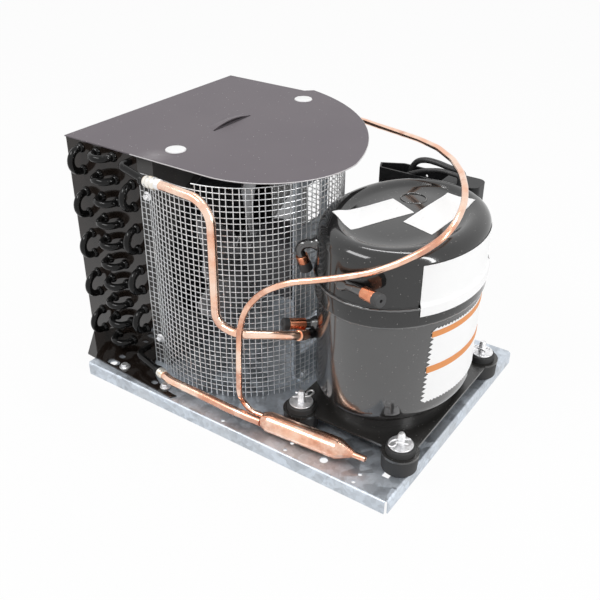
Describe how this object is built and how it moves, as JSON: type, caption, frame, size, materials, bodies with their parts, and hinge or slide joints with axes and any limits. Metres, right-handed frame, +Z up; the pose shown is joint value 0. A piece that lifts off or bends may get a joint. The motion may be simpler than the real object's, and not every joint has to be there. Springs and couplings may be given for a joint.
{
  "type": "refrigeration condensing unit",
  "caption": "Air-cooled refrigeration condensing unit: black hermetic compressor, finned coil with shroud, fan and mesh guard, copper lines and filter drier on a galvanised base pan",
  "frame": {"origin": "centre of the four base bolt holes, on the base pan's top face", "axes": "+Z up, +X from the coil towards the compressor, -Y the side with the return bends and copper lines"},
  "size_m": [0.446, 0.3509, 0.2801],
  "materials": {
    "galvanised": "galvanised, spangled",
    "black_paint": "black gloss paint",
    "grey_paint": "dark grey paint, satin",
    "copper": "drawn copper",
    "zinc": "zinc plated",
    "steel": "plain steel",
    "iron": "cast iron and laminations",
    "aluminium": "plain aluminium",
    "fins": "aluminium fins, painted dark",
    "dark_metal": "dark grey paint",
    "rubber": "black rubber",
    "white_plastic": "white plastic",
    "black_plastic": "black plastic"
  },
  "bodies": {
    "unit": {"base_pan": "galvanised", "box_cover": "black_plastic", "bracket_screws": "zinc", "charging_cap": "rubber", "charging_stub": "copper", "coil_inlet": "black_paint", "coil_outlet": "black_paint", "coil_tubes": "copper", "compressor_lower_shell": "black_paint", "compressor_stator": "iron", "compressor_upper_shell": "black_paint", "cylinder_block": "iron", "cylinder_head": "iron", "discharge_line": "copper", "electrical_box": "black_plastic", "end_plate_far": "black_paint", "end_plate_near": "black_paint", "fan_shroud": "black_paint", "fan_stator": "iron", "filter_drier": "copper", "fin_pack": "fins", "foot_grommets": "rubber", "foot_pan": "black_paint", "foot_screws": "zinc", "foot_studs": "zinc", "foot_washers": "zinc", "guard_hoops": "galvanised", "guard_screws": "zinc", "guard_uprights": "galvanised", "hairpin_clips": "zinc", "liquid_line": "copper", "motor_back_shell": "dark_metal", "motor_bracket": "galvanised", "motor_front_shell": "dark_metal", "motor_winding": "copper", "outlet_line": "copper", "plate_plugs": "white_plastic", "process_cap": "rubber", "process_stub": "copper", "return_bends_far": "black_paint", "return_bends_near": "black_paint", "sealed_terminal": "steel", "spring_cups": "steel", "start_capacitor": "black_plastic", "start_relay": "black_plastic", "suction_cap": "rubber", "suction_stub": "copper", "top_plate": "grey_paint", "valve_plate": "steel", "wire_loop": "rubber"},
    "fan": {"fan_blades": "aluminium", "fan_hub": "steel", "fan_shaft": "steel", "fan_rotor": "steel"},
    "crank": {"crank_rotor": "steel", "crankshaft": "steel"},
    "piston_group": {"piston": "steel", "connecting_rod": "aluminium", "crank_pin": "steel", "wrist_pin": "steel"}
  },
  "joints": [
    {"name": "fan_spin", "type": "hinge", "parent": "unit", "child": "fan", "pos_m": [-0.043, -0.004, 0.127], "axis": [1, 0, 0], "continuous": true},
    {"name": "crank_spin", "type": "hinge", "parent": "unit", "child": "crank", "pos_m": [0.15, -0.0045, 0.1], "axis": [0, 0, 1], "continuous": true},
    {"name": "piston_stroke", "type": "slide", "parent": "unit", "child": "piston_group", "axis": [0, 1, 0], "range_m": [-0.018, 0]}
  ]
}
